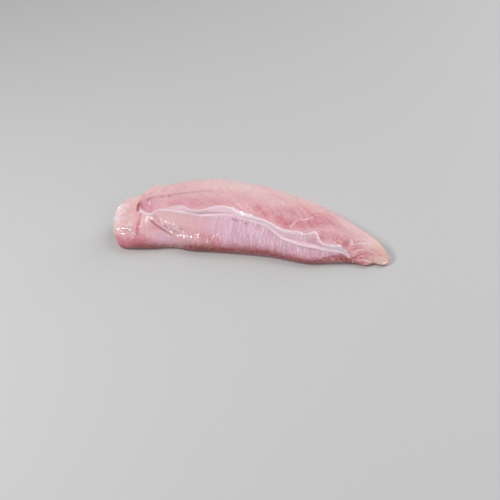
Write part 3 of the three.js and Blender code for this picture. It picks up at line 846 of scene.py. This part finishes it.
# Half the lip's thickness, and the share of it that is lost on either face at the torn edge.
LIP_HALF_THICKNESS = 0.3
LIP_TAPER = 0.7
SEAM_RIDGE = [
    (16, 0.2, 0.8), (22, 0.55, 0.9), (36, 0.8, 1.0), (60, 0.6, 0.9), (104, 0.5, 0.8),
    (114, 0.15, 0.8), (132, 0.15, 1.0), (144, 0.6, 1.4), (165, 1.0, 1.9), (190, 1.0, 2.1),
    (205, 0.9, 1.6), (218, 0.3, 0.8),
]
# Where the band between seam and torn edge is one round roll instead: X and height.
ROLL = [
    (16, 0), (104, 0), (114, 1.0), (134, 1.1), (146, 0), (188, 0), (196, 0.9), (206, 1.2),
    (212, 0.6), (218, 0),
]
TORN_RIDGE = [
    (16, 0, 0.6), (40, 0, 0.6), (50, 0.35, 0.6), (88, 0.4, 0.8), (112, 0.6, 1.3), (134, 0.8, 1.6),
    (150, 1.0, 1.9), (166, 1.0, 2.0), (186, 0.9, 1.7), (196, 1.2, 1.5), (208, 1.1, 1.3),
    (218, 0.3, 0.7),
]
LIP_REACH = [
    (16, 0.1), (42, 0.2), (50, 0.5), (90, 0.5), (100, 1.2), (108, 2.2), (117, 2.0), (126, 1.0),
    (136, 0.4), (150, 0.3), (166, 0.5), (176, 0.6), (188, 0.5), (196, 0.5), (207, 0.9), (218, 0.5),
]
# How white the seam, the torn edge and the band under it are: X and three shares.
WHITENESS = [
    (16, 0.7, 0, 0), (36, 0.9, 0.2, 0), (60, 0.75, 0.8, 0.1), (100, 0.6, 0.9, 0.3),
    (116, 0.6, 1, 0.95), (130, 0.6, 1, 1), (142, 0.8, 1, 0.7), (155, 0.95, 1, 0.4),
    (170, 0.95, 1, 0.3), (186, 0.95, 1, 0.3), (196, 0.95, 1, 0.8), (210, 0.9, 1, 0.9),
    (218, 0.6, 0.8, 0.7),
]
# Pleats that stand up in the sheet: X at the seam, slant towards the torn edge, and height.
PLEATS = [(167, 1.5, 0.25), (170.5, 3, 0.4), (174, 2, 0.3), (185, 3, 0.3)]


def sheet_lanes(x):
    """Rows across the sheet at x, and how far past the torn edge each lane stands: first up
    from the foot in the meat to the seam, then over the band, then along the free lip."""
    stretch = directions(x, SEAM)[2]
    edge = 1 - guide(EDGE_DIP, x)[0]
    foot = np.linspace(-SHEET_FOOT, 0, STEPS_ON_FOOT, endpoint=False)
    band = np.linspace(0, 1, STEPS_ON_BAND)
    lip = np.linspace(0, 1, STEPS_ON_LIP + 1)[1:]
    row = np.concatenate([SEAM + foot / stretch, SEAM + band * edge, SEAM + edge + 0 * lip], 1)
    past = np.concatenate([0 * foot, 0 * band, lip])[None, :] + 0 * x
    return row, past


def pleats(x, share, width):
    """The height of each pleat: a bell of the given width round a line that slants over the
    band as its share grows, faded in from the seam."""
    return [height * bell(x - at_x - slant * share, width) * window(share, 0.4, 1, 0.3)
            for at_x, slant, height in PLEATS]


def sheet_height(x, row, share, to_seam, to_ridge, to_edge):
    """How far the sheet's outer face stands above the meat: its own thickness, the rounded
    ridges along seam and torn edge, and the roll, groove, wrinkles and pleats between."""
    seam_height, seam_width = guide(SEAM_RIDGE, x)
    torn_height, torn_width = guide(TORN_RIDGE, x)
    roll_height, = guide(ROLL, x)
    wrinkles = 0.2 * noise((0.8, 12, 1), 31, to_seam, x) * window(share, 0.15, 0.9, 0.1)
    lumpy = 1 + 0.3 * noise(2.3, 32, x, row) \
        + 0.4 * noise(1.2, 39, x) * ramp(x, 140, 165)
    ridges = lumpy * (seam_height * bell(to_ridge, seam_width)
                      + torn_height * bell(to_edge, torn_width) * (1 - 0.5 * roll_height))
    groove = 0.15 * np.maximum(1 - roll_height, 0) * bell(to_ridge - 2.2, 0.7)
    roll = roll_height * np.sin(np.pi * ramp(share, -0.1, 1.2))
    return SHEET_THICKNESS + wrinkles + sum(pleats(x, share, 0.8)) + ridges - groove + roll


sheet_x = np.linspace(SHEET_START, SHEET_STOP, SHEET_STATIONS)[:, None]
sheet_row, past_edge = sheet_lanes(sheet_x)
lane_x = np.broadcast_to(sheet_x, sheet_row.shape)
band_share = np.clip(sheet_row - SEAM, 0, 1)
on_meat = meat_surface(sheet_x, sheet_row)
sheet_outward = directions(sheet_x, sheet_row)[0]
from_foot = length_so_far(on_meat)
to_seam = from_foot - from_foot[:, [STEPS_ON_FOOT]]
to_edge = from_foot - from_foot[:, [-1]]
to_ridge = to_seam + guide(SEAM_DROP, lane_x)[0]
on_sheet = ramp(to_ridge, -1.8, -0.8)
between_ends = window(lane_x, SHEET_START + 2, SHEET_STOP - 3, 2)
height = between(-FOOT_DEPTH,
                 sheet_height(lane_x, sheet_row, band_share, to_seam, to_ridge, to_edge),
                 on_sheet * between_ends)

ragged = 0.75 + 0.45 * noise(2.1, 33, sheet_x) + 0.3 * noise(0.8, 34, sheet_x)
tatters = np.maximum(1.1 * noise(1.4, 38, sheet_x) - 0.1, 0) * ramp(sheet_x, 130, 160)
reach = (guide(LIP_REACH, sheet_x)[0] * ragged + tatters) * between_ends[:, :1]
curl = 0.25 + 0.35 * noise(7, 35, sheet_x)
edge_way = unit(directions(sheet_x, sheet_row[:, [-1]] - 0.03)[1]
                + curl[..., None] * sheet_outward[:, -1:])
lip_place = edge_way * (reach * past_edge)[..., None]
taper = LIP_TAPER * past_edge
inner_height = np.where(past_edge > 0, height - LIP_HALF_THICKNESS * (2 - taper), -INNER_DEPTH)
outer_face, inner_face = (
    on_meat + sheet_outward * face_height[..., None] + lip_place
    for face_height in (height - LIP_HALF_THICKNESS * taper, inner_height))
sheet_rings = np.concatenate([outer_face, inner_face[:, ::-1]], 1)
sheet_rings[..., 2] = np.maximum(sheet_rings[..., 2], 0.3)

seam_width, torn_width = (guide(ridge, lane_x)[1] for ridge in (SEAM_RIDGE, TORN_RIDGE))
seam_white, torn_white, broad_white = guide(WHITENESS, lane_x)
rolled, = guide(ROLL, lane_x)
streaks = noise((0.75, 15, 1), 36, from_foot, lane_x)
whiteness = np.maximum.reduce([
    seam_white * bell(to_ridge, seam_width * 0.9),
    torn_white * bell(to_edge, torn_width * 1.5),
    broad_white * window(to_edge, -3.5 - 1.6 * rolled, 1, 1.2)]) * (0.86 + 0.5 * streaks)
white_pleats = [1.6 * pleat for pleat in pleats(lane_x, band_share, 0.9)]
# The sheet's deeper rose: its own panels, and painted shade in the groove under the seam.
panel = np.maximum.reduce([
    0.75 * window(lane_x, 176, 187, 5) * window(band_share, 0.2, 0.75, 0.15),
    0.5 * window(lane_x, 152, 178, 12) * window(band_share, 0.2, 0.5, 0.15),
    0.4 * bell(to_ridge - 2.2, 0.7) * window(lane_x, 60, 180, 15) * np.clip(1 - rolled, 0, 1)])
sheet_masks = colour_masks(lane_x, np.minimum(sheet_row, TORN - 0.05), on_meat)
for mask, on_skin in (("ribs", 0.35 + 0.8 * streaks), ("rose", 0.25 + 0.8 * panel), ("brown", 0),
                      ("wet", 0.06 + 0.2 * torn_white * bell(to_edge, 2.5))):
    sheet_masks[mask] = between(sheet_masks[mask], on_skin, on_sheet)
sheet_masks["skin"] = np.maximum(sheet_masks["skin"], on_sheet) - 0.5 * panel
sheet_masks["milk"] = np.clip(
    np.maximum.reduce([whiteness, 0.75 * (past_edge > 0), *white_pleats]), 0, 1)
sheet_masks["grain"] = np.stack([from_foot / 1.2, lane_x / 14, 0 * lane_x], -1)
sheet_masks = {name: np.concatenate([values, values[:, ::-1]], 1)
               for name, values in sheet_masks.items()}
skin_finish = wet_flesh("thin_whitish_skin", 0.04, 0.5, (236, 192, 208), (252, 228, 238))
skin_sheet = make_tube("turkey_skin_sheet", sheet_rings, sheet_masks, skin_finish)
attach(skin_sheet, "root")


# Loose shreds of skin and sinew stand on the meat where it was torn: a pointed tag beside the
# hollow near the tip, short threads around it, and frays along the torn edge of the skin.
# Each is a flat tapering blade of the same whitish tissue, still joined to the meat at its root.
# X and row of the root, X and row of the tip, width, thickness, rise of the tip, bluntness.
SHREDS = [
    (215.8, 7.4, 215.4, 8.12, 4.8, 1.4, 1.8, 1.2), (200.7, 7.3, 200.7, 7.65, 1.2, 0.6, 0.6, 2),
    (199.5, 6.6, 202.3, 7.35, 0.9, 0.5, 0.4, 2), (196.0, 6.92, 196.4, 7.22, 1.2, 0.6, 0.5, 2),
    (203.5, 7.25, 203.9, 7.52, 1.1, 0.5, 0.4, 2), (205.4, 7.2, 206.8, 7.3, 0.9, 0.5, 0.3, 2),
    (159.8, 7.06, 161.4, 7.45, 1.0, 0.5, 0.4, 2), (216.2, 2.8, 219.2, 3.5, 1.2, 0.5, 0.3, 2),
    (144.7, 7.1, 146.4, 7.33, 0.9, 0.4, 0.3, 2), (235.4, 4.3, 239.4, 4.5, 1.2, 0.6, 0.2, 3),
    (240.6, 4.3, 243.2, 4.1, 1.0, 0.5, 0.2, 3), (207.6, 5.7, 210.2, 5.5, 1.0, 0.4, 0.3, 2),
]
FRAYS = 34
FRAY_X = (50, 214)
STEPS_ALONG_SHRED = 9
STEPS_AROUND_SHRED = 8
SHRED_ROOT_DEPTH = 0.4


def shred_rings(table):
    """Rings of points round each shred. Its middle line runs over the meat from root to tip
    and rises with the power 1.3 of the share of the way; its width and thickness shrink
    with that share as the root of one minus its power of the shred's bluntness."""
    root_x, root_row, tip_x, tip_row, width, thickness, rise, bluntness = \
        np.asarray(table, float).T[..., None]
    share = np.linspace(0, 0.97, STEPS_ALONG_SHRED)[None, :]
    x, row = between(root_x, tip_x, share), between(root_row, tip_row, share)
    outward = directions(x, row)[0]
    on_surface = meat_surface(x, row)
    rise_here = rise * share ** 1.3 - SHRED_ROOT_DEPTH * (1 - share)
    middle = on_surface + outward * rise_here[..., None]
    across = unit(np.cross(outward, np.gradient(on_surface, axis=1)))
    up = unit(np.cross(np.gradient(middle, axis=1), across))
    taper = 0.5 * (1 - share ** bluntness) ** np.where(bluntness < 1.5, 1, 0.5)
    turn = -2 * np.pi * np.arange(STEPS_AROUND_SHRED) / STEPS_AROUND_SHRED
    wide = (width * taper)[..., None] * np.cos(turn)
    thick = (thickness * taper)[..., None] * np.sin(turn)
    return (middle[:, :, None] + across[:, :, None] * wide[..., None]
            + up[:, :, None] * thick[..., None])


random = np.random.default_rng(51)
fray_x = random.uniform(*FRAY_X, FRAYS)
fray_length = random.uniform(1.0, 2.6, FRAYS)
fray_stretch = directions(fray_x, TORN + 0.1)[2]
fray_rows = TORN - guide(EDGE_DIP, fray_x)[0]
frays = np.stack([fray_x, fray_rows, fray_x + random.uniform(-1.2, 1.2, FRAYS),
                  fray_rows + fray_length / fray_stretch, random.uniform(0.6, 1.1, FRAYS),
                  random.uniform(0.3, 0.5, FRAYS), random.uniform(0.1, 0.6, FRAYS),
                  np.full(FRAYS, 2.0)], -1)
rings = shred_rings(np.concatenate([SHREDS, frays]))
shred_count, points_each = len(rings), STEPS_ALONG_SHRED * STEPS_AROUND_SHRED + 2
poles = rings[:, [0, -1]].mean(2)
shred_points = np.concatenate([rings.reshape(shred_count, -1, 3), poles], 1).reshape(-1, 3)
shred_quads, shred_fans = tube_faces(STEPS_ALONG_SHRED, STEPS_AROUND_SHRED)
starts = points_each * np.arange(shred_count)[:, None, None]
on_tag = np.arange(len(shred_points)) < points_each
shred_masks = dict.fromkeys(meat_masks, 0.0 * on_tag) | {
    "lip": 0.35 * on_tag,
    "rose": 0.2 + 0.1 * on_tag,
    "milk": np.where(on_tag, 0.75, 0.7 + 0.3 * noise(1.2, 37, *shred_points.T)),
    "wet": 0.7 + 0 * on_tag,
    "grain": shred_points,
}
shreds = make_piece("turkey_skin_shreds", shred_points, (shred_quads + starts).reshape(-1, 4),
                    (shred_fans + starts).reshape(-1, 3), shred_masks, skin_finish)
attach(shreds, "root")


# The floor is a plain pale studio sheet that the fillet lies on.
FLOOR_REACH = 3.0
floor_mesh = bpy.data.meshes.new("floor")
floor_mesh.from_pydata([(FLOOR_REACH * across, FLOOR_REACH * ahead, 0)
                        for across, ahead in ((-1, -1), (1, -1), (1, 1), (-1, 1))],
                       [], [(0, 1, 2, 3)])
floor = add_object("floor", floor_mesh)
floor_finish = bpy.data.materials.new("pale_floor")
floor_finish.use_nodes = True
floor_look = floor_finish.node_tree.nodes["Principled BSDF"].inputs
floor_look["Base Color"].default_value = (0.62, 0.62, 0.62, 1)
floor_look["Roughness"].default_value = 0.6
floor_mesh.materials.append(floor_finish)


# Soft studio light: a bright room, a wide lamp above, a small lamp from the left that makes
# the wet spots glint, a weak lamp in front, and one behind on the right for the far edge.
world = bpy.data.worlds.new("studio")
bpy.context.scene.world = world
world.use_nodes = True
room_light = world.node_tree.nodes["Background"].inputs
room_light["Color"].default_value = (1, 1, 1, 1)
room_light["Strength"].default_value = 0.275
# Square lamps that face the fillet: name, place and side in metres, power in watts.
LAMPS = [("wide_lamp", (0.55, 0.4, 1.0), 0.8, 3.95),
         ("glint_lamp", (-0.64, -0.34, 0.76), 0.28, 5),
         ("front_lamp", (0.8, -0.85, 0.75), 0.9, 2.9),
         ("back_lamp", (0.85, 1.0, 0.5), 0.7, 4.4)]
for lamp_name, place, side, power in LAMPS:
    lamp = bpy.data.lights.new(lamp_name, "AREA")
    lamp.size = side
    lamp.energy = power
    holder = add_object(lamp_name, lamp)
    holder.location = place
    holder.rotation_euler = (-Vector(place)).to_track_quat("-Z", "Y").to_euler()
    holder.visible_camera = False


# The camera stands in front and looks down at the fillet, tipped a little to one side.
CAMERA_PLACE = (0.16847, -0.77876, 0.63290)
CAMERA_AZIMUTH = 12.58
CAMERA_ELEVATION = 39.39
CAMERA_ROLL = -4.29
LENS = 78.907
camera_lens = bpy.data.cameras.new("camera")
camera_lens.lens = LENS
camera_lens.sensor_width = 36
camera_lens.clip_start = 0.01
camera = add_object("camera", camera_lens)
camera_stand = Matrix.Translation(CAMERA_PLACE)
for degrees, axis in ((CAMERA_AZIMUTH, "Z"), (90 - CAMERA_ELEVATION, "X"), (CAMERA_ROLL, "Z")):
    camera_stand = camera_stand @ Matrix.Rotation(math.radians(degrees), 4, axis)
camera.matrix_world = camera_stand
bpy.context.scene.camera = camera
bpy.context.scene.view_settings.view_transform = "Standard"
